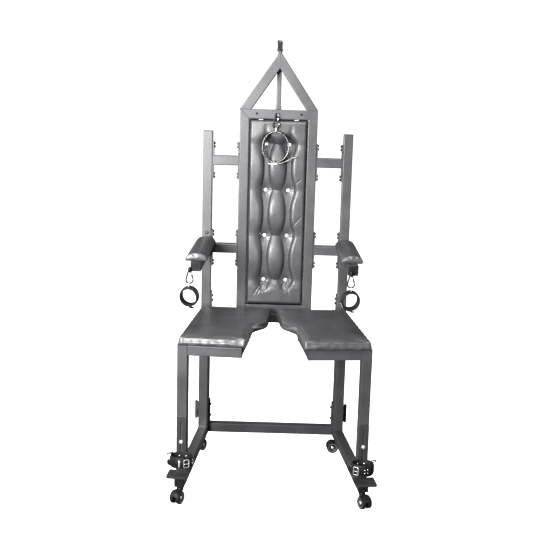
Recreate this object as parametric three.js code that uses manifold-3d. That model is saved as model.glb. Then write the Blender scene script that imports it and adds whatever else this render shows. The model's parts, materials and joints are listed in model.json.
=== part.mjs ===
// A padded restraint chair on castors.
// A fixed steel frame carries the back cushion, the arms and the gable with its mast.
// Two seat halves hang on barrel hinges at the side posts and open sideways on castors.
// Millimetres, +Z up, the sitter faces -Y, +X is the right side seen from the front.
// The right side is drawn with its seat half closed, and the left side is its mirror image.
import * as THREE from 'three';
import { mergeVertices } from 'three/addons/utils/BufferGeometryUtils.js';
import Module from 'manifold-3d';

const wasm = await Module();
wasm.setup();

// ---- driving dimensions -------------------------------------------------------------------
const GAP = 0.3;                 // clearance kept between touching pieces
const TUBE = 40;                 // square tube of the whole frame
const WALL = 2;
const CORNER = 3.5;              // outer corner radius of the tubes
const HALF = TUBE / 2;

const POST_X = 297;              // centre of a side post
const FRAME_Y = HALF;            // centre plane of the fixed frame; its front face is y = 0
const POST_BOTTOM = 66;
const POST_TOP = 1399;

const BACK_X = 144;              // centre of a back stile
const BACK_BOTTOM = 617;
const BACK_TOP = 1496;
const GABLE_TOP = 1735;

const FLANGE = { thick: 5, wide: 38, tall: 156, lowTall: 147, seatTall: 130, vent: 6 };
const LOWER_RAIL_Z = 86;
const SEAT_RAIL_Z = 597;
const ARM_Z = 901;
const UPPER_RAIL_Z = 1278;

const CUSHION = { x: 121, front: -10, back: 37, bottom: 661, top: 1452, bevel: 6 };

const SLEEVE = { side: 25, wall: 2, bottom: 1190, top: 1511 };
const MAST = { x: -3, side: 20, wall: 1.5, bottom: 1230, top: 1764, eye: 8.5, wire: 2.5 };

const ARM_X = 301;               // centre of an arm tube, which stands a little outside its post
const ARM_FRONT = -458;          // front end of an arm tube
const ARM_PAD = { wide: 90, x: 299, bottom: 921, top: 956, front: { left: -470, right: -436 }, rear: -3 };
const PLUG = 5;                  // end plate that carries the arm's eye
const ARM_EYE_X = { left: -323, right: 293 };
const ARM_EYE_Z = 889;
const COLLAR_EYE = { x: -11, y: -26, z: 1472 };

const EYE = { ring: 9, wire: 2.5 };
const CARABINER = { long: 52, wide: 31, top: 8.5, wire: 2.2 };
const DEE = { across: 9, high: 9, wire: 1.8 };
const WRIST = { across: 70, high: 74, wall: 5, deep: 40 };
const COLLAR = { across: 114, high: 130, wall: 4.5, deep: 28 };

const HINGE = { x: 332, y: -2.5, radius: 6.5, pin: 3, slack: 0.3, half: 40, bottoms: [132, 462] };
const SPLAY = { left: 4.25, right: 6.35 };   // degrees that each seat half stands open

const STILE_Y = -25;             // centre of the stile and of the rear castor
const LEG_Y = -544;              // centre of the front leg
const SEAT_TOP_RAIL = 617;
const BASE_RAIL = { z: 85, rear: -5, front: -602 };
const INNER_RAIL_X = 92;
const MID_RAIL_Y = -270;

const PAD = { bottom: 617, top: 651, outer: 319, inner: 1.2, rear: -6, front: -575, notch: 50, bevel: 7 };

// A footrest is drawn with the top of its plate on z = 0, and each is clamped at its own height.
const PLATE_TOP = { left: 122, right: 111 };
const PLATE = { thick: 5, wide: 84, x: 300, front: -648, corner: 12 };
const BRACKET = { wide: 38, top: 214, corner: 8, slotWide: 9, slotBottom: 74, slotTop: 194 };
const CLAMP_Z = 235;
const ANKLE = { x: 289, wide: 85, deep: 72, wall: 5, bottom: 32, top: 77 };

const CASTOR = {
  wheel: 25, inside: 5.5, outside: 20.5, chamfer: 3, hub: 4, slack: 0.4, trail: 22, top: 64.7,
};
const HOOD = {
  half: 14, inner: 26, outer: 28.5, arc: [20, 165], web: 4.5, boss: 8, bossZ: [48, 60], stem: 4.5,
  hubWall: 9,
};
const CASTOR_Y = { rear: STILE_Y, front: -582 };
const CASTOR_TURN = {            // degrees from +X that the wheels trail
  rear: { left: 245, right: 185 },
  front: { left: 245, right: -65 },
};

// ---- materials ------------------------------------------------------------------------------
const finish = (color, roughness, metalness) =>
  new THREE.MeshStandardMaterial({ color, roughness, metalness });
const POWDER = finish(0x4a4a4c, 0.45, 0.4);
const DARK_STEEL = finish(0x1c1c1e, 0.4, 0.5);
const LEATHER = finish(0x1b1b1d, 0.35, 0);
const CHROME = finish(0xd8d8da, 0.15, 1);
const TYRE = finish(0x161616, 0.8, 0);

// ---- solids ---------------------------------------------------------------------------------
function toSolid(geometry) {
  const bare = geometry.clone();
  bare.deleteAttribute('normal');
  bare.deleteAttribute('uv');
  const merged = mergeVertices(bare, 1e-4);
  const mesh = new wasm.Mesh({
    numProp: 3,
    vertProperties: new Float32Array(merged.attributes.position.array),
    triVerts: new Uint32Array(merged.index.array),
  });
  return new wasm.Manifold(mesh);
}

function toGeometry(solid) {
  const mesh = solid.getMesh();
  const geometry = new THREE.BufferGeometry();
  geometry.setAttribute('position', new THREE.BufferAttribute(mesh.vertProperties, 3));
  geometry.setIndex(new THREE.BufferAttribute(mesh.triVerts, 1));
  geometry.computeVertexNormals();
  return geometry;
}

const join = (first, ...others) =>
  toGeometry(others.reduce((solid, other) => solid.add(toSolid(other)), toSolid(first)));
const cut = (first, ...tools) =>
  toGeometry(tools.reduce((solid, tool) => solid.subtract(toSolid(tool)), toSolid(first)));
const meet = (first, second) => toGeometry(toSolid(first).intersect(toSolid(second)));

function mirrored(geometry) {
  const copy = mergeVertices(geometry.clone().applyMatrix4(new THREE.Matrix4().makeScale(-1, 1, 1)));
  const index = copy.index.array;
  for (let i = 0; i < index.length; i += 3) [index[i + 1], index[i + 2]] = [index[i + 2], index[i + 1]];
  copy.computeVertexNormals();
  return copy;
}

function block(x, y, z) {        // a box from three [low, high] pairs
  const box = new THREE.BoxGeometry(x[1] - x[0], y[1] - y[0], z[1] - z[0]);
  return box.translate((x[0] + x[1]) / 2, (y[0] + y[1]) / 2, (z[0] + z[1]) / 2);
}

function extrude(shape, depth, options = {}) {
  return new THREE.ExtrudeGeometry(shape, { depth, bevelEnabled: false, curveSegments: 8, ...options });
}

function rectangle(wide, tall) {
  const shape = new THREE.Shape();
  shape.moveTo(-wide / 2, -tall / 2).lineTo(wide / 2, -tall / 2);
  shape.lineTo(wide / 2, tall / 2).lineTo(-wide / 2, tall / 2).closePath();
  return shape;
}

function roundedSquare(side, radius) {
  const inset = side / 2 - radius;
  const shape = new THREE.Shape();
  [[1, 1], [-1, 1], [-1, -1], [1, -1]].forEach(([x, y], quarter) =>
    shape.absarc(x * inset, y * inset, radius, quarter * Math.PI / 2, (quarter + 1) * Math.PI / 2));
  return shape.closePath();
}

function boxSection(side, wall, length) {
  const shape = roundedSquare(side, CORNER);
  shape.holes.push(roundedSquare(side - 2 * wall, CORNER - wall));
  return extrude(shape, length, { curveSegments: 2 });
}

const tubeZ = (x, y, low, high, side = TUBE, wall = WALL) =>
  boxSection(side, wall, high - low).translate(x, y, low);
const tubeX = (low, high, y, z) =>
  boxSection(TUBE, WALL, high - low).rotateY(Math.PI / 2).translate(low, y, z);
const tubeY = (x, low, high, z) =>
  boxSection(TUBE, WALL, high - low).rotateX(-Math.PI / 2).translate(x, low, z);

// A solid from an outline in X and Z, between two Y values.
const slab = (shape, low, high, options) =>
  extrude(shape, high - low, options).rotateX(Math.PI / 2).translate(0, high, 0);

function polygon(points) {
  return new THREE.Shape(points.map(([x, y]) => new THREE.Vector2(x, y)));
}

// A square tube in the frame's plane with cut ends: its corners run from the start of the outer
// edge to the end of the outer edge, then back along the inner edge. A long tube is trimmed along
// the two end lines, which run on past its faces.
function mitredTube(corners) {
  const [start, end, innerEnd, innerStart] = corners.map(([x, z]) => new THREE.Vector3(x, FRAME_Y, z));
  const along = end.clone().sub(start).normalize();
  const across = new THREE.Vector3().crossVectors(new THREE.Vector3(0, 1, 0), along);
  const inwards = Math.sign(across.dot(innerEnd.clone().sub(end)));
  const run = start.distanceTo(end) + 4 * TUBE;
  const origin = start.clone().addScaledVector(across, inwards * HALF).addScaledVector(along, -2 * TUBE);
  const turn = new THREE.Matrix4().makeBasis(across, new THREE.Vector3(0, 1, 0), along);
  const tube = boxSection(TUBE, WALL, run).applyMatrix4(turn).translate(origin.x, origin.y, origin.z);
  const past = (from, to) => to.clone().lerp(from, -0.2);
  const ends = [past(innerStart, start), past(innerEnd, end), past(end, innerEnd), past(start, innerStart)];
  return meet(tube, slab(polygon(ends.map(({ x, z }) => [x, z])), -1, TUBE + 1));
}

function rod(radius, low, high, x, y, sides = 12) {
  const cylinder = new THREE.CylinderGeometry(radius, radius, high - low, sides);
  return cylinder.rotateX(Math.PI / 2).translate(x, y, (low + high) / 2);
}

function ringWire(radius, high, wire) {     // a wire ring that lies in the YZ plane
  return new THREE.TorusGeometry(radius, wire, 6, 16).rotateY(Math.PI / 2).scale(1, 1, high / radius);
}

function ellipseRing(across, high, wall) {
  const shape = new THREE.Shape().absellipse(0, 0, across / 2, high / 2, 0, Math.PI * 2);
  const hole = new THREE.Path().absellipse(0, 0, across / 2 - wall, high / 2 - wall, 0, Math.PI * 2, true);
  shape.holes.push(hole);
  return shape;
}

// ---- the fixed frame ------------------------------------------------------------------------
const chair = new THREE.Group();
const halves = { left: new THREE.Group(), right: new THREE.Group() };
for (const [side, sign] of [['left', -1], ['right', 1]]) {
  halves[side].position.set(sign * HINGE.x, HINGE.y, 0);
  halves[side].rotation.z = sign * THREE.MathUtils.degToRad(SPLAY[side]);
  chair.add(halves[side]);
}

function add(name, geometry, material, parent = chair) {
  const mesh = new THREE.Mesh(geometry, material);
  mesh.name = name;
  parent.add(mesh);
  return mesh;
}

// The same piece on both sides of the fixed frame.
function addPair(name, geometry, material) {
  add(`${name}_right`, geometry, material);
  add(`${name}_left`, mirrored(geometry), material);
}

// The same piece in both seat halves, drawn where it is with its half closed.
function addToHalves(name, geometry, material, lift = { left: 0, right: 0 }) {
  add(`${name}_right`, geometry, material, halves.right).position.set(-HINGE.x, -HINGE.y, lift.right);
  add(`${name}_left`, mirrored(geometry), material, halves.left).position.set(HINGE.x, -HINGE.y, lift.left);
}

// The lower barrel of each hinge is welded to the post and holds the pin.
function postBarrels() {
  return HINGE.bottoms.flatMap((bottom) => [
    rod(HINGE.radius, bottom, bottom + HINGE.half, HINGE.x, HINGE.y),
    rod(HINGE.pin, bottom + HINGE.half - 1, bottom + 2 * HINGE.half - 6, HINGE.x, HINGE.y),
    block([POST_X + HALF - 1, HINGE.x], [HINGE.y, HALF / 2], [bottom + 2, bottom + HINGE.half - 2]),
  ]);
}

// The upper barrel is welded to the stile and turns on the pin.
function stileBarrels() {
  return HINGE.bottoms.flatMap((bottom) => {
    const low = bottom + HINGE.half + GAP;
    return [
      rod(HINGE.radius, low, bottom + 2 * HINGE.half, HINGE.x, HINGE.y),
      block([POST_X + HALF - 1, HINGE.x], [STILE_Y + HALF / 2, HINGE.y], [low + 2, low + HINGE.half - 4]),
    ];
  });
}

const pinBores = () => HINGE.bottoms.map((bottom) =>
  rod(HINGE.pin + HINGE.slack, bottom + HINGE.half - 2, bottom + 2 * HINGE.half - 5, HINGE.x, HINGE.y));

addPair('post', join(tubeZ(POST_X, FRAME_Y, POST_BOTTOM, POST_TOP), ...postBarrels()), POWDER);

// A flange closes the end of a rail and bolts it to its neighbour; its vent hole drains the tube.
function flange(face, sign, z, span) {
  const x = [face, face + sign * FLANGE.thick].sort((a, b) => a - b);
  const y = [FRAME_Y - FLANGE.wide / 2, FRAME_Y + FLANGE.wide / 2];
  const vent = new THREE.CylinderGeometry(FLANGE.vent, FLANGE.vent, 4 * FLANGE.thick, 12);
  vent.rotateZ(Math.PI / 2).translate(face, FRAME_Y, z);
  return cut(block(x, y, span), vent);
}

function flangedRail(low, high, z, span = [z - FLANGE.tall / 2, z + FLANGE.tall / 2]) {
  const inset = FLANGE.thick - 1;
  const tube = tubeX(low + inset, high - inset, FRAME_Y, z);
  return join(tube, flange(low, 1, z, span), flange(high, -1, z, span));
}
const risingFrom = (z, tall) => [z - HALF + 1, z - HALF + tall];

const POST_INSIDE = POST_X - HALF - GAP;
const BACK_OUTSIDE = BACK_X + HALF + GAP;
add('lower_cross_rail', flangedRail(-POST_INSIDE, POST_INSIDE, LOWER_RAIL_Z,
  risingFrom(LOWER_RAIL_Z, FLANGE.lowTall)), POWDER);
add('seat_cross_rail', flangedRail(-POST_INSIDE, POST_INSIDE, SEAT_RAIL_Z,
  risingFrom(SEAT_RAIL_Z, FLANGE.seatTall)), POWDER);
addPair('upper_rail', flangedRail(BACK_OUTSIDE, POST_INSIDE, UPPER_RAIL_Z), POWDER);
addPair('arm_rail', flangedRail(BACK_OUTSIDE, POST_INSIDE, ARM_Z), POWDER);

// ---- the back frame, mitred at its top corners --------------------------------------------
const backOut = BACK_X + HALF;
const backIn = BACK_X - HALF;
const railBottom = BACK_TOP - TUBE;
const mitre = GAP * Math.SQRT2;
const standing = BACK_BOTTOM + GAP;
addPair('back_stile', mitredTube([[backOut, standing], [backOut, BACK_TOP], [backIn, railBottom],
  [backIn, standing]]), POWDER);

const topRail = mitredTube([[-backOut + mitre, BACK_TOP], [backOut - mitre, BACK_TOP],
  [backIn - mitre, railBottom], [-backIn + mitre, railBottom]]);
add('back_top_rail', cut(topRail, eyeBore()), POWDER);
add('back_bottom_rail', tubeX(-backIn + GAP, backIn - GAP, FRAME_Y, standing + HALF), POWDER);

// The hole in the top rail's front wall that the collar's eye bolt passes through.
function eyeBore() {
  const bore = new THREE.CylinderGeometry(3.5, 3.5, 4 * WALL, 12);
  return bore.translate(COLLAR_EYE.x, 0, COLLAR_EYE.z);
}

// The gable's two members lean together over the top rail and meet on the centre line.
const gableFoot = BACK_TOP + GAP;
const lean = Math.atan2(backOut, GABLE_TOP - gableFoot);
addPair('gable', mitredTube([[backOut, gableFoot], [GAP / 2, GABLE_TOP],
  [GAP / 2, GABLE_TOP - TUBE / Math.sin(lean)], [backOut - TUBE / Math.cos(lean), gableFoot]]), POWDER);

add('back_cushion', slab(rectangle(2 * (CUSHION.x - CUSHION.bevel),
  CUSHION.top - CUSHION.bottom - 2 * CUSHION.bevel), CUSHION.front + CUSHION.bevel,
  CUSHION.back - CUSHION.bevel, { bevelEnabled: true, bevelSize: CUSHION.bevel,
    bevelThickness: CUSHION.bevel, bevelSegments: 2 }).translate(0, 0,
  (CUSHION.top + CUSHION.bottom) / 2), LEATHER);

// ---- the mast in its sleeve behind the back frame -----------------------------------------
const mastY = TUBE + GAP + SLEEVE.side / 2;
add('mast_sleeve', tubeZ(MAST.x, mastY, SLEEVE.bottom, SLEEVE.top, SLEEVE.side, SLEEVE.wall), POWDER);

function mast() {
  const tube = tubeZ(MAST.x, mastY, MAST.bottom, MAST.top - 1, MAST.side, MAST.wall);
  const across = (middle) => [middle - MAST.side / 2, middle + MAST.side / 2];
  const cap = block(across(MAST.x), across(mastY), [MAST.top - 3, MAST.top]);
  const eye = new THREE.TorusGeometry(MAST.eye, MAST.wire, 6, 16).rotateX(Math.PI / 2);
  return join(tube, cap, eye.translate(MAST.x, mastY, MAST.top + MAST.eye));
}
add('mast_tube', mast(), DARK_STEEL);

// ---- the arms -------------------------------------------------------------------------------
addPair('arm_tube', tubeY(ARM_X, ARM_FRONT, -GAP, ARM_Z), POWDER);

function armPad(front) {
  const half = ARM_PAD.wide / 2;
  const rise = ARM_PAD.top - ARM_PAD.bottom;
  const shape = new THREE.Shape();
  shape.moveTo(-half + 3, 0).lineTo(half - 3, 0).lineTo(half, 4).lineTo(half, rise * 0.5);
  shape.bezierCurveTo(half, rise * 0.9, half * 0.7, rise, half * 0.45, rise);
  shape.lineTo(-half * 0.45, rise);
  shape.bezierCurveTo(-half * 0.7, rise, -half, rise * 0.9, -half, rise * 0.5);
  shape.lineTo(-half, 4).closePath();
  return slab(shape, front, ARM_PAD.rear, { curveSegments: 5 });
}

const plugFace = ARM_FRONT - GAP - PLUG;
const armEyeY = plugFace - EYE.ring;
for (const [side, sign] of [['left', -1], ['right', 1]]) {
  const x = [sign * ARM_X - HALF, sign * ARM_X + HALF];
  const plate = block(x, [plugFace, ARM_FRONT - GAP], [ARM_Z - HALF, ARM_Z + HALF]);
  const ring = ringWire(EYE.ring, EYE.ring, EYE.wire).translate(ARM_EYE_X[side], armEyeY, ARM_EYE_Z);
  add(`arm_eye_${side}`, join(plate, ring), DARK_STEEL);
  const pad = add(`arm_pad_${side}`, armPad(ARM_PAD.front[side]), LEATHER);
  pad.position.set(sign * ARM_PAD.x, 0, ARM_PAD.bottom + GAP);
}

function collarEye() {
  const shankEnds = [EYE.ring - 1, 8 - COLLAR_EYE.y];
  const shank = new THREE.CylinderGeometry(3, 3, shankEnds[1] - shankEnds[0], 12);
  shank.translate(0, (shankEnds[0] + shankEnds[1]) / 2, 0);
  const washerHalf = 1.5;
  const washer = new THREE.CylinderGeometry(8, 8, 2 * washerHalf, 16);
  washer.translate(0, -GAP - washerHalf - COLLAR_EYE.y, 0);
  const ring = ringWire(EYE.ring, EYE.ring, EYE.wire);
  return join(ring, shank, washer).translate(COLLAR_EYE.x, COLLAR_EYE.y, COLLAR_EYE.z);
}
add('collar_eye', collarEye(), DARK_STEEL);

// ---- carabiners, wrist cuffs and collar ---------------------------------------------------
// A carabiner is a pear of wire: two arcs and the tangents between them, drawn from its top.
function carabiner() {
  const wide = CARABINER.wide / 2 - CARABINER.wire;
  const top = CARABINER.top - CARABINER.wire;
  const drop = CARABINER.long - 2 * CARABINER.wire - wide - top;
  const flare = Math.asin((wide - top) / drop);
  const points = [];
  for (let i = -4; i <= 4; i++) {
    const angle = (i / 4) * (Math.PI / 2 - flare);
    points.push(new THREE.Vector3(top * Math.sin(angle), 0, top * Math.cos(angle) - top));
  }
  for (let i = -4; i <= 4; i++) {
    const angle = Math.PI + (i / 4) * (Math.PI / 2 + flare);
    points.push(new THREE.Vector3(wide * Math.sin(angle), 0, wide * Math.cos(angle) - top - drop));
  }
  const curve = new THREE.CatmullRomCurve3(points, true);
  return new THREE.TubeGeometry(curve, 28, CARABINER.wire, 6, true);
}

// A cuff is a band whose opening faces forward, with its ring welded on top at the origin.
function cuff({ across, high, wall, deep }) {
  const band = slab(ellipseRing(across, high, wall), -deep / 2, deep / 2, { curveSegments: 10 });
  const dee = ringWire(DEE.across, DEE.high, DEE.wire).translate(0, 0, -DEE.high);
  return join(band.translate(0, 0, -high / 2 - 2 * DEE.high), dee);
}

// Each chain hangs plumb from its eye: the wires rest on one another with the usual gap.
const hookRise = -EYE.ring + EYE.wire + CARABINER.wire + GAP;
const cuffDrop = -CARABINER.long + 2 * CARABINER.wire + CARABINER.wire + DEE.wire + GAP;
function hang(prefix, bandName, sizes, x, y, z) {
  add(`${prefix}_carabiner`, carabiner(), DARK_STEEL).position.set(x, y, z + hookRise);
  add(bandName, cuff(sizes), LEATHER).position.set(x, y, z + hookRise + cuffDrop);
}
for (const side of ['left', 'right']) {
  hang(`wrist_${side}`, `wrist_cuff_${side}`, WRIST, ARM_EYE_X[side], armEyeY, ARM_EYE_Z);
}
hang('collar', 'collar', COLLAR, COLLAR_EYE.x, COLLAR_EYE.y, COLLAR_EYE.z);

// ---- the seat halves ------------------------------------------------------------------------
const standingLow = BASE_RAIL.z + HALF + GAP;
const railTop = SEAT_TOP_RAIL - GAP;
const seatRailZ = SEAT_TOP_RAIL - HALF;
const legInside = POST_X - HALF - GAP;
const innerLow = INNER_RAIL_X - HALF;
const legFace = LEG_Y - HALF;
const bracketFace = legFace - GAP - PLATE.thick;

// The hole in the leg's front wall for the footrest's clamp bolt.
function clampBore() {
  const bore = new THREE.CylinderGeometry(4.4, 4.4, 4 * WALL, 12);
  return bore.translate(POST_X, legFace, CLAMP_Z);
}

addToHalves('base_rail', tubeY(POST_X, BASE_RAIL.front, BASE_RAIL.rear, BASE_RAIL.z), POWDER);
addToHalves('rear_stile', cut(join(tubeZ(POST_X, STILE_Y, standingLow, railTop), ...stileBarrels()),
  ...pinBores()), POWDER);
addToHalves('front_leg', cut(tubeZ(POST_X, LEG_Y, standingLow, railTop), clampBore()), POWDER);
addToHalves('seat_front_rail', tubeX(innerLow, legInside, LEG_Y, seatRailZ - GAP), POWDER);
addToHalves('seat_side_rail', tubeY(POST_X, LEG_Y + HALF + GAP, STILE_Y - HALF - GAP,
  seatRailZ - GAP), POWDER);
addToHalves('seat_mid_rail', tubeX(innerLow, legInside, MID_RAIL_Y, seatRailZ - GAP), POWDER);
addToHalves('seat_inner_rail', tubeY(INNER_RAIL_X, LEG_Y + HALF + GAP, MID_RAIL_Y - HALF - GAP,
  seatRailZ - GAP), POWDER);

// The pad's outline narrows from the full seat behind to the thigh rest in front.
function seatPad() {
  const b = PAD.bevel;
  const shape = new THREE.Shape();
  shape.moveTo(PAD.outer - b, PAD.rear - b).lineTo(PAD.inner + b, PAD.rear - b);
  shape.lineTo(PAD.inner + b, -222);
  shape.bezierCurveTo(PAD.inner + b, -280, PAD.notch + b, -300, PAD.notch + b, -345);
  shape.lineTo(PAD.notch + b, PAD.front + b).lineTo(PAD.outer - b, PAD.front + b).closePath();
  const depth = PAD.top - PAD.bottom - 2 * b;
  const body = extrude(shape, depth, { bevelEnabled: true, bevelSize: b, bevelThickness: b,
    bevelSegments: 2, curveSegments: 8 });
  return body.translate(0, 0, PAD.bottom + b);
}
addToHalves('seat_pad', seatPad(), LEATHER);

// ---- footrests --------------------------------------------------------------------------------
function footrest() {
  const half = BRACKET.wide / 2;
  const { corner, top } = BRACKET;
  const upper = new THREE.Shape();
  upper.moveTo(-half, -PLATE.thick).lineTo(half, -PLATE.thick).lineTo(half, top - corner);
  upper.absarc(half - corner, top - corner, corner, 0, Math.PI / 2);
  upper.absarc(corner - half, top - corner, corner, Math.PI / 2, Math.PI).closePath();
  const slot = new THREE.Path();
  const radius = BRACKET.slotWide / 2;
  slot.absarc(0, BRACKET.slotTop - radius, radius, 0, Math.PI);
  slot.absarc(0, BRACKET.slotBottom + radius, radius, Math.PI, Math.PI * 2).closePath();
  upper.holes.push(slot);
  const bracket = slab(upper, bracketFace, bracketFace + PLATE.thick).translate(POST_X, 0, 0);

  const x = [PLATE.x - PLATE.wide / 2, PLATE.x + PLATE.wide / 2];
  const r = PLATE.corner;
  const sole = new THREE.Shape();
  sole.moveTo(x[0], bracketFace + 1).lineTo(x[0], PLATE.front + r);
  sole.absarc(x[0] + r, PLATE.front + r, r, Math.PI, Math.PI * 1.5);
  sole.absarc(x[1] - r, PLATE.front + r, r, Math.PI * 1.5, Math.PI * 2);
  sole.lineTo(x[1], bracketFace + 1).closePath();
  return join(bracket, extrude(sole, PLATE.thick).translate(0, 0, -PLATE.thick));
}
addToHalves('footrest', footrest(), DARK_STEEL, PLATE_TOP);

// A domed bolt clamps the bracket to the leg through its slot.
function clampBolt() {
  const profile = [[0, -14], [4, -14], [4, 0], [8, 0], [8, 2], [6.5, 5], [4, 6.6], [0, 7.2]];
  const bolt = new THREE.LatheGeometry(profile.map(([r, h]) => new THREE.Vector2(r, h)), 16);
  return bolt.rotateX(Math.PI).translate(POST_X, bracketFace - GAP, CLAMP_Z);
}
addToHalves('foot_clamp_bolt', clampBolt(), CHROME);

function ankleCuff() {
  const ring = ellipseRing(ANKLE.wide, ANKLE.deep, ANKLE.wall);
  const band = extrude(ring, ANKLE.top - ANKLE.bottom, { curveSegments: 10 });
  return band.translate(ANKLE.x, bracketFace - GAP - ANKLE.deep / 2, ANKLE.bottom);
}
addToHalves('ankle_cuff', ankleCuff(), LEATHER, PLATE_TOP);

// ---- castors --------------------------------------------------------------------------------
// A twin-wheel castor is drawn with its swivel axis on the origin and its wheels trailing to +X.
// Its fork is one web between the wheels, with a hood over both of them.
function castorFork() {
  const { wheel, hub, slack, trail, top } = CASTOR;
  const [from, to] = HOOD.arc.map(THREE.MathUtils.degToRad);
  const hood = new THREE.Shape().absarc(trail, wheel, HOOD.outer, from, to);
  hood.absarc(trail, wheel, HOOD.inner, to, from, true).closePath();
  const middle = new THREE.Shape().absarc(trail, wheel, (HOOD.inner + HOOD.outer) / 2, from, to);
  middle.absarc(trail, wheel, HOOD.hubWall, Math.PI, Math.PI * 2).closePath();
  middle.holes.push(new THREE.Path().absarc(trail, wheel, hub + slack, 0, Math.PI * 2, true));
  const boss = rod(HOOD.boss, ...HOOD.bossZ, 0, 0, 16);
  const stem = rod(HOOD.stem, HOOD.bossZ[1] - 1, top, 0, 0);
  return join(slab(middle, -HOOD.web, HOOD.web), slab(hood, -HOOD.half, HOOD.half), boss, stem);
}

// Both wheels and the axle between them turn as one.
function castorWheel() {
  const { wheel, inside, outside, chamfer, hub } = CASTOR;
  const disc = [[hub, inside], [wheel - chamfer, inside], [wheel, inside + chamfer],
    [wheel, outside - chamfer], [wheel - chamfer, outside], [0, outside]];
  const other = disc.map(([r, h]) => [r, -h]).reverse();
  return new THREE.LatheGeometry([...other, ...disc].map(([r, h]) => new THREE.Vector2(r, h)), 24);
}

for (const [end, y] of Object.entries(CASTOR_Y)) {
  for (const [side, sign] of [['left', -1], ['right', 1]]) {
    const castor = new THREE.Group();
    castor.position.set(sign * (POST_X - HINGE.x), y - HINGE.y, 0);
    castor.rotation.z = THREE.MathUtils.degToRad(CASTOR_TURN[end][side] - sign * SPLAY[side]);
    halves[side].add(castor);
    add(`castor_fork_${end}_${side}`, castorFork(), DARK_STEEL, castor);
    const wheels = add(`castor_wheel_${end}_${side}`, castorWheel(), TYRE, castor);
    wheels.position.set(CASTOR.trail, 0, CASTOR.wheel);
  }
}

// ---- the origin: on the floor, under the middle of the whole chair ---------------------------
chair.updateMatrixWorld(true);
const bounds = new THREE.Box3().setFromObject(chair, true);
const middle = bounds.getCenter(new THREE.Vector3());
chair.position.set(-middle.x, -middle.y, -bounds.min.z);

export default chair;
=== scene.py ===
"""Looks for a padded restraint chair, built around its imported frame.

Shapes are drawn in millimetres in the chair's own axes: x across from the middle of the frame,
y back from the frame's front face and z up from the floor. Pieces of a seat half are drawn on the
right with the half closed, and their placing matrix opens them or mirrors them to the left.
"""

import json
import math

import bmesh
import bpy
from mathutils import Euler, Matrix, Vector, noise


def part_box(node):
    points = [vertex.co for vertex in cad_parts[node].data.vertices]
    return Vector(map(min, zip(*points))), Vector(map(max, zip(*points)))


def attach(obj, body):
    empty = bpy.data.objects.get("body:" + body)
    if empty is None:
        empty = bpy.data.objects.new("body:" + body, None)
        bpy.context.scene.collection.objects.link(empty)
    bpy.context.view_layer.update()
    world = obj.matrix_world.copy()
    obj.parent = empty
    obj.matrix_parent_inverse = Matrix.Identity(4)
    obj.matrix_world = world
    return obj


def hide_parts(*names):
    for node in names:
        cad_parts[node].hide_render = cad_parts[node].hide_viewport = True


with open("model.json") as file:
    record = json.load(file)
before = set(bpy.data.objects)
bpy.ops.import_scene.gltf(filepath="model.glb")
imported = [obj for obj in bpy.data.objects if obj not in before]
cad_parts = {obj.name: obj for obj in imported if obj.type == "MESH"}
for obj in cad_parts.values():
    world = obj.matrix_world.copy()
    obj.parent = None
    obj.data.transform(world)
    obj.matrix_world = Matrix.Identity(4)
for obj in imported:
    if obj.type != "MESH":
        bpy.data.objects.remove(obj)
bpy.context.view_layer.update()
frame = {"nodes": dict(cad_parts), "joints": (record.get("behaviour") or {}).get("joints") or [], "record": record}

# ---- the frame's own places, in millimetres --------------
MM = 0.001
SIDES = {"left": -1, "right": 1}
POST_LOW, POST_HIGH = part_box("post_left")[0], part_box("post_right")[1]
ORIGIN = Vector(((POST_LOW.x + POST_HIGH.x) / 2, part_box("back_stile_left")[0].y, 0))
ROOT = Matrix.Translation(ORIGIN) @ Matrix.Scale(MM, 4)
FIXED = {"left": ROOT @ Matrix.Scale(-1, 4, (1, 0, 0)), "right": ROOT}


def box_mm(node):
    """A node's lowest and highest corners in the chair's own axes."""
    return [(corner - ORIGIN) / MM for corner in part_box(node)]


def joint(name):
    return next(j for j in frame["joints"] if j["name"] == name)


def half_place(side):
    """From a drawing of the closed right half to where that half stands."""
    hinge = joint(f"seat_hinge_{side}")
    pivot = Matrix.Translation((*hinge["pos_m"][:2], 0))
    splay = math.radians(-hinge["range_deg"][0]) * SIDES[side]
    return pivot @ Matrix.Rotation(splay, 4, "Z") @ pivot.inverted() @ FIXED[side]


HALF = {side: half_place(side) for side in SIDES}


def over_box(low, high, z):
    """To the middle of a box, at a height."""
    return Matrix.Translation(((low.x + high.x) / 2, (low.y + high.y) / 2, z))


def rotation(degrees, axis):
    return Matrix.Rotation(math.radians(degrees), 4, axis)


TUBE = 40
POST_X = 297  # the middle of a post
POST_INSIDE = POST_X - TUBE / 2
POST_TOP = 1400
BACK_OUTSIDE = 164  # the outer side of a back stile
FLANGE = 5  # how thick the bolted flanges are
UPPER_RAIL, ARM_RAIL = 1278, 901  # heights of the middles of these rails


# ---- shapes ----------------------------------------------
class Shape:
    """Points and the faces between them."""

    def __init__(self, points=(), faces=()):
        self.points = [Vector(p) for p in points]
        self.faces = [tuple(f) for f in faces]

    def __add__(self, other):
        first = len(self.points)
        moved = [tuple(i + first for i in f) for f in other.faces]
        return Shape(self.points + other.points, self.faces + moved)

    def by(self, matrix):
        return Shape([matrix @ p for p in self.points], self.faces)

    def at(self, x=0, y=0, z=0, rx=0, ry=0, rz=0):
        turn = Euler([math.radians(a) for a in (rx, ry, rz)]).to_matrix().to_4x4()
        return self.by(Matrix.Translation((x, y, z)) @ turn)


def block(x, y, z):
    """A box from three (low, high) pairs."""
    points = [(a, b, c) for c in z for b in y for a in x]
    return Shape(points, [(0, 1, 3, 2), (4, 6, 7, 5), (0, 4, 5, 1), (2, 3, 7, 6), (0, 2, 6, 4), (1, 5, 7, 3)])


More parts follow.
